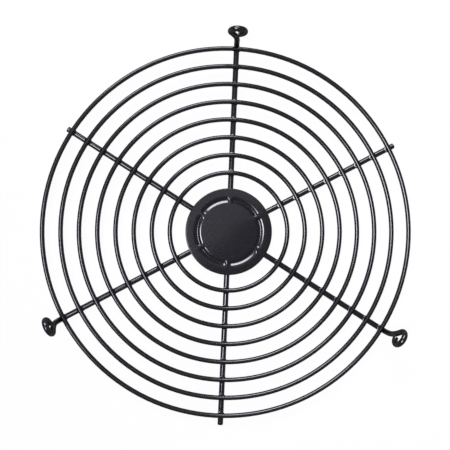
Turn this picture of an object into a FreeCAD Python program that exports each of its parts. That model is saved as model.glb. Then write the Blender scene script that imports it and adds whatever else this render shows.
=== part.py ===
"""A round wire fan guard: rings welded on six spokes, a pressed hub disc and three screw eyes on legs.

Lengths are in millimetres. The guard lies flat with its legs up: +Z is the guard's axis, towards
the side that the rings, the disc and the legs are on, and +Y points along the first eye spoke.
The origin is the centre of the hub disc's front face.
"""
import FreeCAD, Part
import math
import os

# Rings: wire circles, evenly spaced from the innermost to the outermost.
GUARD_DIAMETER = 254.0
INNER_RING_DIAMETER = 83.6
RING_COUNT = 8
RING_WIRE = 3.1

# Spokes: heavier wire, one with an eye and one cut off plain by turns round the guard. Each
# starts under the disc, this far inside the circle of the disc's bead.
SPOKE_WIRE = 3.8
SPOKE_UNDERLAP = 6.55
WIRE_END_CHAMFER = 0.35
EYE_SPOKES = {"eye_spoke_top": 90.0, "eye_spoke_left": 210.0, "eye_spoke_right": 330.0}
PLAIN_SPOKES = {"plain_spoke_right": 30.0, "plain_spoke_left": 150.0, "plain_spoke_bottom": 270.0}

# The plain spokes are cut by hand, so each runs its own way past the outer ring.
PLAIN_OVERHANGS = {"plain_spoke_right": 3.6, "plain_spoke_left": 2.5, "plain_spoke_bottom": 5.4}

# Legs: an eye spoke turns up just past the outer ring's weld and closes into an eye. They are
# bent by hand too, so each has its own angle from the spoke, and its own lean to the left.
LEG_BEND_START = 0.8
LEG_BEND_RADIUS = 4.0
LEG_ANGLES = {"eye_spoke_top": 87.0, "eye_spoke_left": 86.0, "eye_spoke_right": 82.0}
LEG_LEANS = {"eye_spoke_top": 3.0, "eye_spoke_left": 0.0, "eye_spoke_right": 2.0}
LEG_STRAIGHT = 2.0
NECK_BEND_RADIUS = 25.0
EYE_HOLE = 5.75
EYE_GAP = 0.3

# Hub disc: sheet with a rounded front edge and a bead pressed towards the spokes between them.
# The middle of the bead is this far in from the disc's edge, but the whole circle is a little off
# centre. Its arcs reach over the sides of each spoke's wire, and its shoulders are rounded.
DISC_DIAMETER = 59.4
DISC_SHEET = 1.2
DISC_EDGE_RADIUS = 0.6
BEAD_INSET = 8.25
BEAD_OFF_CENTRE = (1.4, -0.8)
BEAD_WIDTH = 2.7
BEAD_DEPTH = 0.9
BEAD_LAP_AT_SPOKE = 0.95
BEAD_SHOULDER_RADIUS = 0.3

# Welds: how far a ring sinks into a spoke, and a spoke into the disc, where they cross.
RING_WELD_SINK = 0.35
DISC_WELD_SINK = 0.25

UP = FreeCAD.Vector(0, 0, 1)
BEAD_CENTRE = FreeCAD.Vector(*BEAD_OFF_CENTRE, 0)

# Heights of the layers, counted down from the disc's front face.
DISC_BACK_Z = -DISC_SHEET
SPOKE_Z = DISC_BACK_Z + DISC_WELD_SINK - SPOKE_WIRE / 2
RING_Z = SPOKE_Z + SPOKE_WIRE / 2 + RING_WIRE / 2 - RING_WELD_SINK

# Radii of the wires' centrelines, the bead's circle, and the radius of the spokes' inner ends.
OUTER_RING_RADIUS = (GUARD_DIAMETER - RING_WIRE) / 2
INNER_RING_RADIUS = (INNER_RING_DIAMETER - RING_WIRE) / 2
RING_PITCH = (OUTER_RING_RADIUS - INNER_RING_RADIUS) / (RING_COUNT - 1)
EYE_RADIUS = (EYE_HOLE + SPOKE_WIRE) / 2
BEAD_DIAMETER = DISC_DIAMETER - 2 * BEAD_INSET
SPOKE_START_RADIUS = BEAD_DIAMETER / 2 - SPOKE_UNDERLAP

# The bead is the mark of a ball dragged along an arc, with its centre this far above the face.
BEAD_BALL = (BEAD_WIDTH**2 / 4 + BEAD_DEPTH**2) / (2 * BEAD_DEPTH)
BEAD_BALL_LIFT = BEAD_BALL - BEAD_DEPTH


def outward(degrees):
    """The unit vector away from the guard's axis at this angle."""
    angle = math.radians(degrees)
    return FreeCAD.Vector(math.cos(angle), math.sin(angle), 0)


class WireBender:
    """Feeds a round wire out and bends it, keeping each stretch as a solid.

    Both cut ends have their rims broken, so the wire begins and ends in a short cone.
    """

    def __init__(self, diameter, start, heading):
        self.radius = diameter / 2
        self.place = start
        self.heading = heading
        self.stretches = []
        self.tip(self.radius - WIRE_END_CHAMFER, self.radius)

    def tip(self, first_radius, last_radius):
        cone = Part.makeCone(first_radius, last_radius, WIRE_END_CHAMFER, self.place, self.heading)
        self.stretches.append(cone)
        self.place = self.place + self.heading * WIRE_END_CHAMFER

    def run(self, length):
        self.stretches.append(Part.makeCylinder(self.radius, length, self.place, self.heading))
        self.place = self.place + self.heading * length

    def bend(self, bend_radius, degrees, axis):
        """Turns the heading about axis, with this radius at the wire's centreline."""
        centre = self.place + axis.cross(self.heading) * bend_radius
        rim = Part.makeCircle(self.radius, self.place, self.heading)
        section = Part.Face(Part.Wire([rim]))
        self.stretches.append(section.revolve(centre, axis, degrees))
        turn = FreeCAD.Rotation(axis, degrees)
        self.place = centre + turn.multVec(self.place - centre)
        self.heading = turn.multVec(self.heading)

    def cut_off(self):
        """The finished wire as one solid."""
        self.tip(self.radius, self.radius - WIRE_END_CHAMFER)
        return self.stretches[0].multiFuse(self.stretches[1:]).removeSplitter().Solids[0]


def spoke_bender(degrees):
    start = outward(degrees) * SPOKE_START_RADIUS + UP * SPOKE_Z
    return WireBender(SPOKE_WIRE, start, outward(degrees))


def plain_spoke(name):
    """A straight wire from under the disc to its own distance past the outer ring."""
    bender = spoke_bender(PLAIN_SPOKES[name])
    length = GUARD_DIAMETER / 2 + PLAIN_OVERHANGS[name] - SPOKE_START_RADIUS
    bender.run(length - 2 * WIRE_END_CHAMFER)
    return bender.cut_off()


def eye_spoke(name):
    """A wire that turns up past the outer ring into a leg and ends in a flat eye.

    The eye lies in the leg's own plane, so its hole faces the guard's axis. The neck leans to
    the left, seen from that axis, and the eye turns back to the right round a centre that
    stands straight over the leg.
    """
    bender = spoke_bender(EYE_SPOKES[name])
    lean_to_left = FreeCAD.Rotation(bender.heading, -LEG_LEANS[name])
    towards_left = lean_to_left.multVec(UP.cross(bender.heading))
    bender.run(OUTER_RING_RADIUS + LEG_BEND_START - SPOKE_START_RADIUS - WIRE_END_CHAMFER)
    bender.bend(LEG_BEND_RADIUS, LEG_ANGLES[name], towards_left * -1)
    bender.run(LEG_STRAIGHT)
    hole_axis = bender.heading.cross(towards_left)
    lean = math.degrees(math.acos(NECK_BEND_RADIUS / (NECK_BEND_RADIUS + EYE_RADIUS)))
    bender.bend(NECK_BEND_RADIUS, lean, hole_axis)
    bender.bend(EYE_RADIUS, eye_sweep(), hole_axis * -1)
    return bender.cut_off()


def eye_sweep():
    """Degrees of the eye's circle that the wire covers before its cut end nears the neck.

    The outer rim of the cut end, the eye's centre and the centre of the neck's bend make a
    triangle. It has the end one gap clear of the neck. The end's cone takes the last degrees.
    """
    rim = EYE_RADIUS + SPOKE_WIRE / 2
    span = NECK_BEND_RADIUS + EYE_RADIUS
    reach = NECK_BEND_RADIUS + SPOKE_WIRE / 2 + EYE_GAP
    opening = math.acos((rim**2 + span**2 - reach**2) / (2 * rim * span))
    return 360.0 - math.degrees(opening + WIRE_END_CHAMFER / EYE_RADIUS)


def ring(number):
    """A closed wire ring, counted from the innermost."""
    radius = INNER_RING_RADIUS + number * RING_PITCH
    return Part.makeTorus(radius, RING_WIRE / 2, UP * RING_Z, UP)


def welded_to(spoke, rings):
    """The spoke with a saddle in its front where each ring is pressed into it by the weld."""
    return spoke.cut(rings).Solids[0]


def sheet_blank():
    """The disc before its bead is pressed, with a rounded front edge."""
    radius = DISC_DIAMETER / 2
    corner = radius - DISC_EDGE_RADIUS
    middle = DISC_EDGE_RADIUS * math.sqrt(0.5)
    centre_front = FreeCAD.Vector(0, 0, 0)
    centre_back = FreeCAD.Vector(0, 0, DISC_BACK_Z)
    rim_back = FreeCAD.Vector(radius, 0, DISC_BACK_Z)
    rim_front = FreeCAD.Vector(radius, 0, -DISC_EDGE_RADIUS)
    round_middle = FreeCAD.Vector(corner + middle, 0, middle - DISC_EDGE_RADIUS)
    face_front = FreeCAD.Vector(corner, 0, 0)
    outline = Part.Wire([
        Part.LineSegment(centre_back, rim_back).toShape(),
        Part.LineSegment(rim_back, rim_front).toShape(),
        Part.Arc(rim_front, round_middle, face_front).toShape(),
        Part.LineSegment(face_front, centre_front).toShape(),
        Part.LineSegment(centre_front, centre_back).toShape(),
    ])
    return Part.Face(outline).revolve(centre_back, UP, 360)


def dragged_ball(ball, ceiling, start, stop):
    """What lies below the ceiling of a ball dragged along the bead's circle between two angles."""
    path = BEAD_DIAMETER / 2
    low = BEAD_BALL_LIFT - ball
    half_width = math.sqrt(ball**2 - (BEAD_BALL_LIFT - ceiling) ** 2)
    slope = math.atan2(half_width, BEAD_BALL_LIFT - ceiling) / 2
    bottom = FreeCAD.Vector(path, 0, low)
    inner = FreeCAD.Vector(path - half_width, 0, ceiling)
    outer = FreeCAD.Vector(path + half_width, 0, ceiling)
    on_flank = FreeCAD.Vector(path + ball * math.sin(slope), 0, BEAD_BALL_LIFT - ball * math.cos(slope))
    top = FreeCAD.Vector(path, 0, ceiling)
    section = Part.Face(Part.Wire([
        Part.Arc(inner, bottom, outer).toShape(),
        Part.LineSegment(outer, inner).toShape(),
    ]))
    half_section = Part.Face(Part.Wire([
        Part.Arc(bottom, on_flank, outer).toShape(),
        Part.LineSegment(outer, top).toShape(),
        Part.LineSegment(top, bottom).toShape(),
    ]))
    trench = section.revolve(FreeCAD.Vector(0, 0, 0), UP, stop - start)
    first_end = half_section.revolve(top, UP, -180)
    last_end = half_section.revolve(top, UP, 180)
    last_end.rotate(FreeCAD.Vector(0, 0, 0), UP, stop - start)
    mark = trench.multiFuse([first_end, last_end]).removeSplitter()
    mark.rotate(FreeCAD.Vector(0, 0, 0), UP, start)
    mark.translate(BEAD_CENTRE)
    return mark


def angle_on_bead(degrees):
    """Where a spoke at this angle crosses the bead's circle, as an angle about its centre."""
    line = outward(degrees)
    along = line.dot(BEAD_CENTRE)
    across = line.cross(BEAD_CENTRE).Length
    crossing = line * (along + math.sqrt((BEAD_DIAMETER / 2) ** 2 - across**2))
    from_centre = crossing - BEAD_CENTRE
    return math.degrees(math.atan2(from_centre.y, from_centre.x)) % 360


def shoulders(disc, height):
    """The edges where the bead's arcs meet the sheet's face at this height."""
    found = []
    for edge in disc.Edges:
        box = edge.BoundBox
        middle = edge.valueAt((edge.FirstParameter + edge.LastParameter) / 2) - BEAD_CENTRE
        off_bead = abs(math.hypot(middle.x, middle.y) - BEAD_DIAMETER / 2)
        if max(abs(box.ZMin - height), abs(box.ZMax - height)) < 1e-3 and off_bead < BEAD_WIDTH:
            found.append(edge)
    return found


def hub_disc(spokes):
    """The pressed sheet disc: a bead arc between each two spokes, and a seat over each spoke."""
    gap = SPOKE_WIRE - 2 * BEAD_LAP_AT_SPOKE
    half_gap = math.degrees(math.asin((gap + BEAD_WIDTH) / BEAD_DIAMETER))
    disc = sheet_blank()
    angles = sorted(angle_on_bead(spoke) for spoke in [*EYE_SPOKES.values(), *PLAIN_SPOKES.values()])
    for angle, next_angle in zip(angles, [*angles[1:], angles[0] + 360]):
        start = angle + half_gap
        stop = next_angle - half_gap
        disc = disc.fuse(dragged_ball(BEAD_BALL + DISC_SHEET, DISC_BACK_Z, start, stop))
        disc = disc.cut(dragged_ball(BEAD_BALL, 0.0, start, stop))
    for height in (0.0, DISC_BACK_Z):
        disc = disc.makeFillet(BEAD_SHOULDER_RADIUS, shoulders(disc, height))
    return disc.cut(spokes).removeSplitter().Solids[0]


def main():
    os.makedirs("parts", exist_ok=True)
    rings = {f"ring_{number + 1}": ring(number) for number in range(RING_COUNT)}
    spokes = {name: eye_spoke(name) for name in EYE_SPOKES}
    spokes.update({name: plain_spoke(name) for name in PLAIN_SPOKES})
    nodes = dict(rings)
    nodes["hub_disc"] = hub_disc(list(spokes.values()))
    for name, spoke in spokes.items():
        nodes[name] = welded_to(spoke, list(rings.values()))
    for name, solid in nodes.items():
        solid.exportStep(f"parts/{name}.step")
        box = solid.BoundBox
        print(f"{name}: valid {solid.isValid()}, {solid.Volume:.1f} mm3, "
              f"z {box.ZMin:.2f} to {box.ZMax:.2f}")


main()
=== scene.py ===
# %% [markdown]
# A wire fan guard in black paint.
#
# This lesson takes a guard for a small round fan, welded up from wire, and makes it look like the
# real thing in a studio photograph. The measured model comes first, as a frame that never moves:
# eight rings, six spokes and a pressed disc. Everything that follows is laid on it, in metres.

# %% Load the measured model
import math
import bpy
from mathutils import Matrix, Vector


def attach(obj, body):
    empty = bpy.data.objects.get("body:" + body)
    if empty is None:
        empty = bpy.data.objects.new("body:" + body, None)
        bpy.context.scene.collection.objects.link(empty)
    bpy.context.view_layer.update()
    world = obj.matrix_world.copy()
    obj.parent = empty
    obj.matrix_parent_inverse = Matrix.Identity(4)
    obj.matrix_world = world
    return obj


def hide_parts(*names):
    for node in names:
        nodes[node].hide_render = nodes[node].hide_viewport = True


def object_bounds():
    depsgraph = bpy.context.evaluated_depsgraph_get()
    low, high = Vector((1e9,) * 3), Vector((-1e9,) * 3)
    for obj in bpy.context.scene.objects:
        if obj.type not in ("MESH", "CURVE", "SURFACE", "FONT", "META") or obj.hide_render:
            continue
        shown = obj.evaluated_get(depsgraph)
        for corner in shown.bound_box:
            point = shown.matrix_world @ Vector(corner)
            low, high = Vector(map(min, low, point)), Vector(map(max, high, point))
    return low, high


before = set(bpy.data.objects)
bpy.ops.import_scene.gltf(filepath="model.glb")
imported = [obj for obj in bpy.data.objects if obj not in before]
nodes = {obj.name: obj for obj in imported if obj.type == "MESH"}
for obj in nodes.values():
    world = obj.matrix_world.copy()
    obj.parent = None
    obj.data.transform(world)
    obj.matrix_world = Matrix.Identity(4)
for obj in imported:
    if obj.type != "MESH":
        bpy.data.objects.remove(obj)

measured_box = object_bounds()
print("measured nodes:", ", ".join(sorted(nodes)))
print("measured box in millimetres:", [[round(1000 * c, 2) for c in corner] for corner in measured_box])

# %% [markdown]
# The camera stands a little over 0.4 m from the rings and looks almost straight down on them. A
# guard lies flat on a bench with its legs up, and is photographed from above, so up is +Z. Two
# small tilts and a roll are left in, because a hand-held or hastily set camera is never square.

# %% Set the camera
MM = 0.001
CAMERA_DISTANCE = 409.97 * MM
CAMERA_RIGHT = -2.673 * MM
CAMERA_UP = 4.562 * MM
CAMERA_PITCH = -0.5
CAMERA_YAW = 3.7
CAMERA_ROLL = -2.495
RINGS_HEIGHT = 0.25 * MM
FILM_WIDTH = 36
LENS_LENGTH = 48

turn = (Matrix.Rotation(math.radians(CAMERA_PITCH), 3, "X")
        @ Matrix.Rotation(math.radians(CAMERA_YAW), 3, "Y")
        @ Matrix.Rotation(math.radians(CAMERA_ROLL), 3, "Z")).transposed()
lens = bpy.data.cameras.new("camera")
lens.sensor_width = FILM_WIDTH
lens.lens = LENS_LENGTH
lens.clip_start = 0.01
lens.clip_end = 20
camera = bpy.data.objects.new("camera", lens)
camera.matrix_world = turn.to_4x4()
camera.location = turn @ Vector((CAMERA_RIGHT, CAMERA_UP, CAMERA_DISTANCE)) + Vector((0, 0, RINGS_HEIGHT))
bpy.context.scene.collection.objects.link(camera)
bpy.context.scene.camera = camera
print("camera at", [round(c, 4) for c in camera.location])

# %% [markdown]
# Shader nodes are written here as sums. A Knot holds one socket of a material, and adding or
# multiplying knots lays the Math nodes for it. Every other node comes from the one method called
# add, which takes the node's type, its settings, and what its sockets get.

# %% A short way to write shader nodes
class Knot:
    """One socket of a material's nodes. Arithmetic on it adds Math nodes."""

    def __init__(self, tree, socket=None):
        self.tree = tree
        self.socket = socket

    def add(self, kind, settings=None, sockets=None, output=0):
        """Adds a node: its settings first, then a value or a Knot for each of its sockets."""
        node = self.tree.nodes.new("ShaderNode" + kind)
        for name, value in (settings or {}).items():
            setattr(node, name, value)
        for name, value in (sockets or {}).items():
            if isinstance(value, Knot):
                self.tree.links.new(value.socket, node.inputs[name])
            else:
                node.inputs[name].default_value = value
        return Knot(self.tree, node.outputs[output])

    def maths(self, operation, *values):
        return self.add("Math", {"operation": operation}, dict(enumerate(values)))

    def __add__(self, other):
        return self.maths("ADD", self, other)

    def __radd__(self, other):
        return self.maths("ADD", other, self)

    def __mul__(self, other):
        return self.maths("MULTIPLY", self, other)

    def __rmul__(self, other):
        return self.maths("MULTIPLY", other, self)

    def mix(self, low, high):
        """Blends two colours by this knot."""
        return self.add("Mix", {"data_type": "RGBA"}, {0: self, 6: low, 7: high}, output=2)


def new_material(name):
    """An empty material, its start Knot and its output node."""
    material = bpy.data.materials.new(name)
    material.use_nodes = True
    material.node_tree.nodes.clear()
    output = material.node_tree.nodes.new("ShaderNodeOutputMaterial")
    return material, Knot(material.node_tree), output


# %% [markdown]
# The guard is dipped or sprayed black and baked, which gives a hard, fairly glossy skin. Close up
# such a skin is never quite level: it sets in soft dimples, and it is a little duller where it is
# thin. The dimples are noise in a Bump node, too shallow to show as more than a small shake in
# the highlights. Seen along the surface the same dimples break the mirror up, so a duller coat
# takes over there, mixed in by how far the surface is turned away. The pressed sheet is a little
# smoother than the drawn wire, so its coat is too.

# %% Black paint for the wires and the disc
PAINT_BLACK = (0.0020, 0.0018, 0.0032, 1)
PAINT_THIN = (0.0036, 0.0032, 0.0052, 1)
PAINT_SHINE = 0.86
TURNED_DULL = 1.7
DULL_ROUGHNESS = 0.5
DULL_SHINE = 0.08
CLOUDS_PER_METRE = 60.0
DIMPLES_PER_METRE = 160.0
DIMPLE_HEIGHT = 0.0004 * MM


def black_paint(name, smoothest, roughest):
    """A black coat whose roughness drifts between two values from place to place."""
    material, start, output = new_material(name)
    place = start.add("TexCoord", output=3)
    cloud = start.add("TexNoise", None, {"Vector": place, "Scale": CLOUDS_PER_METRE, "Detail": 3.0})
    dimples = start.add("TexNoise", None, {"Vector": place, "Scale": DIMPLES_PER_METRE, "Detail": 2.0})
    bump = start.add("Bump", None, {"Height": dimples, "Distance": DIMPLE_HEIGHT, "Strength": 1.0})
    colour = cloud.mix(PAINT_BLACK, PAINT_THIN)
    glossy = start.add("BsdfPrincipled", None, {
        "Base Color": colour,
        "Roughness": smoothest + cloud * (roughest - smoothest),
        "Specular IOR Level": PAINT_SHINE,
        "Normal": bump,
    })
    dull = start.add("BsdfPrincipled", None, {
        "Base Color": colour,
        "Roughness": DULL_ROUGHNESS,
        "Specular IOR Level": DULL_SHINE,
        "Normal": bump,
    })
    turned = start.add("LayerWeight", None, {"Blend": 0.5}, output=1)
    shader = start.add("MixShader", None, {0: turned * TURNED_DULL, 1: glossy, 2: dull})
    material.node_tree.links.new(shader.socket, output.inputs["Surface"])
    return material


wire_paint = black_paint("wire_paint", smoothest=0.12, roughest=0.18)
sheet_paint = black_paint("sheet_paint", smoothest=0.12, roughest=0.16)
for name, node in nodes.items():
    finish = sheet_paint if name == "hub_disc" else wire_paint
    for place in node.material_slots:
        place.material = finish
print("painted", len(nodes), "nodes")

# %% [markdown]
# Each edit below works on a few corners or edges, which a person would click on. A script has to
# say in words which ones it means, and the surest words are places: the ring of edges at this
# radius, the corners at this height. One helper takes such a rule and selects what fits it.

# %% Pick corners or edges of a piece
def pick(piece, kind, wanted):
    """Goes to edit mode with only those parts selected that wanted says yes to, by their places."""
    mesh = piece.data
    bpy.ops.object.mode_set(mode="EDIT")
    bpy.ops.mesh.select_mode(type=kind)
    bpy.ops.mesh.select_all(action="DESELECT")
    bpy.ops.object.mode_set(mode="OBJECT")
    spots = [corner.co.copy() for corner in mesh.vertices]
    parts = mesh.vertices if kind == "VERT" else mesh.edges
    for part in parts:
        corners = [spots[part.index]] if kind == "VERT" else [spots[i] for i in part.vertices]
        part.select = all(wanted(corner) for corner in corners)
    bpy.ops.object.mode_set(mode="EDIT")


def across(spot):
    """How far a point is from the guard's axis."""
    return math.hypot(spot.x, spot.y)


print("helpers ready: pick and across")

# %% [markdown]
# The hub disc is a pressing: one stroke of a tool puts a round bead in a flat blank, which keeps
# the thin sheet from drumming, and leaves it flat where it lies on each spoke, so that it can be
# welded there. The photograph shows a bead with straight sides, which mirror the softbox all
# at once, and rounded shoulders, which each catch a thin line of light.
#
# A turned profile could be spun, but here a filled circle is inset again and again, in or down at
# each step, as a sheet is drawn down in a die.

# %% Press the hub disc
DISC_RADIUS = 29.7 * MM
SHEET = 1.2 * MM
BEAD_RADIUS = 21.7 * MM
BEAD_SIDE = 2.1 * MM
BEAD_DEPTH = 1.1 * MM
AROUND = 360

bpy.ops.object.select_all(action="DESELECT")
bpy.ops.mesh.primitive_circle_add(vertices=AROUND, radius=DISC_RADIUS, fill_type="NGON")
disc = bpy.context.object
disc.name = "pressed_disc"
bpy.ops.object.mode_set(mode="EDIT")
bpy.ops.mesh.select_all(action="SELECT")
bpy.ops.mesh.inset(thickness=DISC_RADIUS - BEAD_RADIUS - BEAD_SIDE, depth=0)
bpy.ops.mesh.inset(thickness=BEAD_SIDE, depth=-BEAD_DEPTH)
bpy.ops.mesh.inset(thickness=BEAD_SIDE, depth=BEAD_DEPTH)
bpy.ops.object.mode_set(mode="OBJECT")
print("pressed disc: deepest", round(1000 * min(corner.co.z for corner in disc.data.vertices), 3), "mm")

# %% [markdown]
# The bead stops short of each spoke. In a few steps of one degree its bottom line rises to the
# face, and its two shoulder lines draw together, which makes the rounded ends of the six arcs.

# %% Lift the bead over the spokes
FIRST_SPOKE = 30
SPOKES_APART = 60
DEPTH_SHARES = (0.0, 0.0, 0.0, 0.3, 0.7, 0.94)
WIDTH_SHARES = (0.62, 0.62, 0.62, 0.62, 0.8, 0.94)
LINE_TOLERANCE = 0.05 * MM
DEGREE_TOLERANCE = 0.5


def degrees_from_spoke(spot):
    """How far round a point is from the nearest spoke, which halves the sixth that it lies in."""
    turned = math.degrees(math.atan2(spot.y, spot.x)) % SPOKES_APART
    return abs(turned - FIRST_SPOKE)


def on_bead_line(spot, line, step):
    """Whether a corner is on the circle of this radius and this many degrees from a spoke."""
    off_step = abs(degrees_from_spoke(spot) - step)
    return abs(across(spot) - line) < LINE_TOLERANCE and off_step < DEGREE_TOLERANCE


for step, share in enumerate(DEPTH_SHARES):
    pick(disc, "VERT", lambda spot: on_bead_line(spot, BEAD_RADIUS, step))
    bpy.ops.transform.resize(value=(1, 1, share), center_override=(0, 0, 0))
for step, share in enumerate(WIDTH_SHARES):
    for side in (-BEAD_SIDE, BEAD_SIDE):
        line = BEAD_RADIUS + side
        pick(disc, "VERT", lambda spot: on_bead_line(spot, line, step))
        closer = (BEAD_RADIUS + side * share) / line
        bpy.ops.transform.resize(value=(closer, closer, 1), center_override=(0, 0, 0))
bpy.ops.object.mode_set(mode="OBJECT")
spots = [corner.co for corner in disc.data.vertices]
bottom = [spot.z for spot in spots if abs(across(spot) - BEAD_RADIUS) < LINE_TOLERANCE]
lifted = sum(1 for height in bottom if height > 0.99 * min(bottom))
print("corners on the bead's bottom line:", len(bottom), "of which lifted:", lifted)

# %% [markdown]
# The bottom of the bead is rounded first. Then the sheet gets its thickness towards the back, and
# last the shoulders and the rim are rounded, on the thick sheet, so that the back stays clean.

# %% Round the bead, thicken the sheet, round its shoulders and rim
BOTTOM_ROUND = 0.5 * MM
SHOULDER_ROUND = 0.7 * MM
BACK_ROUND = 0.3 * MM
RIM_ROUND = 0.5 * MM
HAIR = 0.02 * MM
FEW_HAIRS = 4 * HAIR
NEAREST_SHOULDER = 0.55 * BEAD_SIDE
SMOOTH_UNDER = 40

pick(disc, "EDGE", lambda spot: abs(across(spot) - BEAD_RADIUS) < FEW_HAIRS)
bpy.ops.mesh.bevel(offset=BOTTOM_ROUND, segments=6, profile=0.5)
bpy.ops.object.mode_set(mode="OBJECT")
sheet = disc.modifiers.new("sheet", "SOLIDIFY")
sheet.thickness = SHEET
sheet.offset = -1
sheet.use_even_offset = True
bpy.ops.object.modifier_apply(modifier="sheet")


def on_shoulder(spot, height):
    """Whether a corner at this height is on a shoulder line, also where the two draw together."""
    off_bead = abs(across(spot) - BEAD_RADIUS)
    return abs(spot.z - height) < HAIR and NEAREST_SHOULDER < off_bead < BEAD_SIDE + FEW_HAIRS


pick(disc, "EDGE", lambda spot: on_shoulder(spot, 0))
bpy.ops.mesh.bevel(offset=SHOULDER_ROUND, segments=7, profile=0.5)
pick(disc, "EDGE", lambda spot: on_shoulder(spot, -SHEET))
bpy.ops.mesh.bevel(offset=BACK_ROUND, segments=2, profile=0.5)
pick(disc, "EDGE", lambda spot: abs(across(spot) - DISC_RADIUS) < FEW_HAIRS and abs(spot.z) < HAIR)
bpy.ops.mesh.bevel(offset=RIM_ROUND, segments=6, profile=0.5)
bpy.ops.mesh.select_all(action="SELECT")
bpy.ops.mesh.normals_make_consistent(inside=False)
bpy.ops.object.mode_set(mode="OBJECT")
bpy.ops.object.shade_smooth_by_angle(angle=math.radians(SMOOTH_UNDER))
disc.data.materials.append(sheet_paint)
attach(disc, "root")
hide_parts("hub_disc")
print("pressed disc:", len(disc.data.polygons), "faces")

# %% [markdown]
# Each ring is spot-welded to each spoke. The current melts the two wires into each other, and a
# little metal squeezes out into the four corners of the crossing, where it sets under the paint
# as a small web. One web is modelled from an eight-sided block. Two of its corners run out along
# the ring and are lifted into it, two run out along the spoke and are lowered into it, and the
# four between are drawn in, before all of it is rounded. The weld between a spoke and the disc's
# back is made the same way, a little flatter.

# %% Model one weld
RING_WELD_MIDDLE = -1.125 * MM
DISC_WELD_MIDDLE = -1.4 * MM
ROUNDINGS = 2


def make_weld(name, along_spoke, along_ring, waist, height, lift, drop, middle):
    """One weld at the origin. X runs along the spoke and Y along the ring or the sheet."""
    bpy.ops.object.select_all(action="DESELECT")
    bpy.ops.mesh.primitive_cylinder_add(vertices=8, radius=along_ring, depth=height)
    weld = bpy.context.object
    weld.name = name
    pick(weld, "VERT", lambda spot: abs(spot.y) < HAIR)
    bpy.ops.transform.resize(value=(along_spoke / along_ring, 1, 1), center_override=(0, 0, 0))
    bpy.ops.transform.translate(value=(0, 0, -drop))
    pick(weld, "VERT", lambda spot: abs(spot.x) < HAIR)
    bpy.ops.transform.translate(value=(0, 0, lift))
    pick(weld, "VERT", lambda spot: abs(abs(spot.x) - abs(spot.y)) < HAIR)
    bpy.ops.transform.resize(value=(waist / along_ring, waist / along_ring, 1), center_override=(0, 0, 0))
    bpy.ops.mesh.select_all(action="SELECT")
    bpy.ops.transform.translate(value=(0, 0, middle))
    bpy.ops.object.mode_set(mode="OBJECT")
    rounding = weld.modifiers.new("rounding", "SUBSURF")
    rounding.levels = ROUNDINGS
    rounding.render_levels = ROUNDINGS
    bpy.ops.object.modifier_apply(modifier="rounding")
    bpy.ops.object.shade_smooth()
    weld.data.materials.append(wire_paint)
    return weld


ring_weld = make_weld("ring_weld", along_spoke=3.8 * MM, along_ring=3.6 * MM, waist=2.95 * MM,
                      height=1.5 * MM, lift=0.55 * MM, drop=0.65 * MM, middle=RING_WELD_MIDDLE)
disc_weld = make_weld("disc_weld", along_spoke=3.4 * MM, along_ring=3.1 * MM, waist=2.8 * MM,
                      height=1.0 * MM, lift=0, drop=0.3 * MM, middle=DISC_WELD_MIDDLE)
print("one weld:", len(ring_weld.data.polygons), "faces")

# %% [markdown]
# The welds stand in rows, one on each ring along each spoke, and one between each spoke and the
# back of the disc. Each copy has a mesh of its own, which is turned and moved to its place, so
# that its object stays at the origin as the measured pieces do.

# %% Copy the welds to every crossing
RINGS = 8
FIRST_RING = 40.25 * MM
LAST_RING = 125.45 * MM
RING_PITCH = (LAST_RING - FIRST_RING) / (RINGS - 1)
DISC_WELD_AT = 26.4 * MM


def lay_copy(piece, name, distance, azimuth):
    """A copy with its own mesh, at a distance from the guard's axis in a direction."""
    bpy.ops.object.select_all(action="DESELECT")
    piece.select_set(True)
    bpy.context.view_layer.objects.active = piece
    bpy.ops.object.duplicate(linked=False)
    twin = bpy.context.object
    twin.name = name
    around = math.radians(azimuth)
    twin.rotation_euler.z = around
    twin.location = (distance * math.cos(around), distance * math.sin(around), 0)
    bpy.ops.object.transform_apply(location=True, rotation=True, scale=True)
    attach(twin, "root")


welds = 0
for azimuth in range(FIRST_SPOKE, 360, SPOKES_APART):
    lay_copy(disc_weld, f"disc_weld_at_{azimuth}", DISC_WELD_AT, azimuth)
    for number in range(RINGS):
        radius = FIRST_RING + number * RING_PITCH
        lay_copy(ring_weld, f"ring_{number + 1}_weld_at_{azimuth}", radius, azimuth)
        welds += 1
for model in (ring_weld, disc_weld):
    bpy.data.objects.remove(model)
print("welds on the rings:", welds)

# %% [markdown]
# The guard lies on a pale floor that runs out of the picture on every side. The photograph shows
# no floor at all, only white, so what the camera and every mirror see of it is made a plain
# white, while its dull part still takes the guard's shadow.

# %% Lay the floor
FLOOR_HEIGHT = measured_box[0].z
FLOOR_SIZE = 12.0
FLOOR_WHITE = 0.96
FLOOR_GREY = 0.80

bpy.ops.object.select_all(action="DESELECT")
bpy.ops.mesh.primitive_plane_add(size=FLOOR_SIZE, location=(0, 0, FLOOR_HEIGHT))
floor = bpy.context.object
floor.name = "floor"

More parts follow.
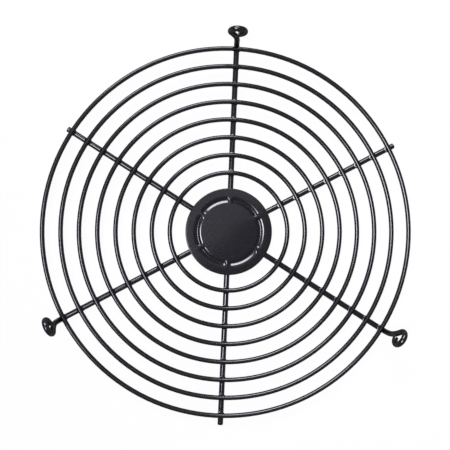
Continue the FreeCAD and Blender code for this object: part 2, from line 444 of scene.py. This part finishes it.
floor_finish, start, output = new_material("pale_floor")
by_camera = start.add("LightPath", output=0)
by_mirror = start.add("LightPath", output=3)
through_glass = start.add("LightPath", output=6)
diffuse = start.add("BsdfDiffuse", None, {"Color": (FLOOR_GREY, FLOOR_GREY, FLOOR_GREY, 1)})
white = start.add("Emission", None, {"Color": (1, 1, 1, 1), "Strength": 1.0})
seen = start.maths("MINIMUM", by_camera + by_mirror + through_glass, 1.0)
shown = start.add("MixShader", None, {0: seen * FLOOR_WHITE, 1: diffuse, 2: white})
floor_finish.node_tree.links.new(shown.socket, output.inputs["Surface"])
floor.data.materials.append(floor_finish)
print("floor at", round(1000 * FLOOR_HEIGHT, 2), "mm")

# %% [markdown]
# The wires are thin and dark, so almost all that the eye reads is the line of light along each.
# The lights' places were worked out from where those lines lie on the rings: a broad softbox
# beyond the top of the frame, and a smaller light beside the camera with a grid in front, which
# favours the right half. A large dim light overhead ends in the middle of the disc's mirror
# image, and gives its face a slow fall of grey. The room around is dim.

# %% Set the lights and the room
LAMP_COLOUR = (0.93, 0.90, 1.0)
ROOM_COLOUR = (0.9, 0.87, 1, 1)
ROOM_STRENGTH = 0.26
OPEN_SPREAD = 180


def softbox(name, azimuth, tilt, distance, width, height, watts, spread=OPEN_SPREAD, aim=(0, 0, 0)):
    """An area light that faces a point, placed by its tilt from straight above towards an azimuth."""
    lamp = bpy.data.lights.new(name, "AREA")
    lamp.shape = "RECTANGLE"
    lamp.size = width
    lamp.size_y = height
    lamp.energy = watts
    lamp.color = LAMP_COLOUR
    lamp.spread = math.radians(spread)
    light = bpy.data.objects.new(name, lamp)
    around = math.radians(azimuth)
    down = math.radians(tilt)
    sideways = math.sin(down)
    towards = Vector((sideways * math.cos(around), sideways * math.sin(around), math.cos(down)))
    light.location = towards * distance
    light.rotation_mode = "QUATERNION"
    light.rotation_quaternion = (light.location - Vector(aim)).to_track_quat("Z", "Y")
    bpy.context.scene.collection.objects.link(light)


softbox("window_softbox", azimuth=108, tilt=52, distance=1.55, width=1.1, height=0.55, watts=24.5)
softbox("camera_light", azimuth=199, tilt=22, distance=1.0, width=0.46, height=0.34, watts=0.62,
        spread=45, aim=(0.15, 0.02, 0))
softbox("ceiling", azimuth=130, tilt=22, distance=1.2, width=1.1, height=1.1, watts=1.25)

room = bpy.data.worlds.new("room")
room.use_nodes = True
room.node_tree.nodes["Background"].inputs["Color"].default_value = ROOM_COLOUR
room.node_tree.nodes["Background"].inputs["Strength"].default_value = ROOM_STRENGTH
bpy.context.scene.world = room
bpy.context.scene.view_settings.view_transform = "Standard"
print("lights:", ", ".join(lamp.name for lamp in bpy.data.lights))
